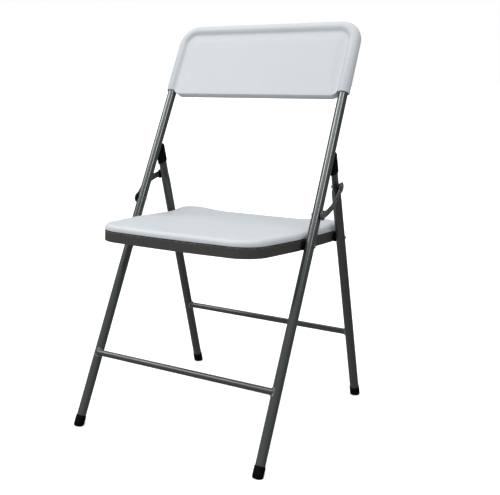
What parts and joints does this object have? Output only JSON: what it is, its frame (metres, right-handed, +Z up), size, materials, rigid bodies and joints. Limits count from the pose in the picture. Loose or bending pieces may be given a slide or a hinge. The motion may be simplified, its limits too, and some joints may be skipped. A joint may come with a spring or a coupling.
{
  "type": "folding chair",
  "caption": "Tubular steel folding chair with a moulded plastic seat and backrest. It folds flat on a linkage of seat, rear legs and side links.",
  "frame": {"origin": "on the floor, under the middle of the open chair's bounding box", "axes": "+Z up, the sitter faces -Y, +X towards the chair's right as seen from the front"},
  "size_m": [0.4512, 0.4698, 0.8146],
  "materials": {
    "frame_paint": "satin metallic grey powder coat",
    "rim_paint": "satin dark grey powder coat",
    "link_paint": "satin dark grey powder coat",
    "pale_plastic": "fine matt moulded surface, cool light grey",
    "black_plastic": "matt moulded surface",
    "black_rubber": "matt",
    "zinc_steel": "bright zinc plating"
  },
  "bodies": {
    "front_frame": {"backrest_screw_left": "zinc_steel", "backrest_screw_right": "zinc_steel", "backrest_shell": "pale_plastic", "front_crossbar": "frame_paint", "front_foot_left": "black_rubber", "front_foot_right": "black_rubber", "front_frame_tube": "frame_paint", "front_link_rivet_left": "zinc_steel", "front_link_rivet_right": "zinc_steel", "front_link_spacer_left": "black_plastic", "front_link_spacer_right": "black_plastic", "seat_pivot_rivet_left": "zinc_steel", "seat_pivot_rivet_right": "zinc_steel"},
    "seat": {"leg_pivot_rivet_left": "zinc_steel", "leg_pivot_rivet_right": "zinc_steel", "leg_pivot_spacer_left": "black_plastic", "leg_pivot_spacer_right": "black_plastic", "seat_pad": "pale_plastic", "seat_pivot_spacer_left": "black_plastic", "seat_pivot_spacer_right": "black_plastic", "seat_rim": "rim_paint", "seat_screw_front_left": "zinc_steel", "seat_screw_front_right": "zinc_steel", "seat_screw_rear_left": "zinc_steel", "seat_screw_rear_right": "zinc_steel"},
    "rear_legs": {"rear_crossbar": "frame_paint", "rear_foot_left": "black_rubber", "rear_foot_right": "black_rubber", "rear_leg_cap_left": "black_plastic", "rear_leg_cap_right": "black_plastic", "rear_leg_left": "frame_paint", "rear_leg_right": "frame_paint", "rear_link_rivet_shank_left": "zinc_steel", "rear_link_rivet_shank_right": "zinc_steel", "rear_link_spacer_left": "black_plastic", "rear_link_spacer_right": "black_plastic"},
    "link_right": {"fold_link_right": "link_paint", "rear_link_rivet_head_right": "zinc_steel"},
    "link_left": {"fold_link_left": "link_paint", "rear_link_rivet_head_left": "zinc_steel"}
  },
  "joints": [
    {"name": "seat_fold", "type": "hinge", "parent": "front_frame", "child": "seat", "pos_m": [0, -0.02481, 0.386], "axis": [-1, 0, 0], "range_deg": [0, 103.1]},
    {"name": "leg_fold", "type": "hinge", "parent": "seat", "child": "rear_legs", "pos_m": [0, 0.12122, 0.3773], "axis": [1, 0, 0], "range_deg": [0, 60.2]},
    {"name": "link_fold_right", "type": "hinge", "parent": "front_frame", "child": "link_right", "pos_m": [0, 0.00415, 0.4416], "axis": [-1, 0, 0], "range_deg": [0, 127.9]},
    {"name": "link_fold_left", "type": "hinge", "parent": "front_frame", "child": "link_left", "pos_m": [0, 0.00415, 0.4416], "axis": [-1, 0, 0], "range_deg": [0, 127.9]}
  ],
  "couplings": [
    {"joint": "leg_fold", "follows": "seat_fold", "ratio": 0.58371},
    {"joint": "link_fold_right", "follows": "seat_fold", "ratio": 1.2398},
    {"joint": "link_fold_left", "follows": "seat_fold", "ratio": 1.2398}
  ]
}
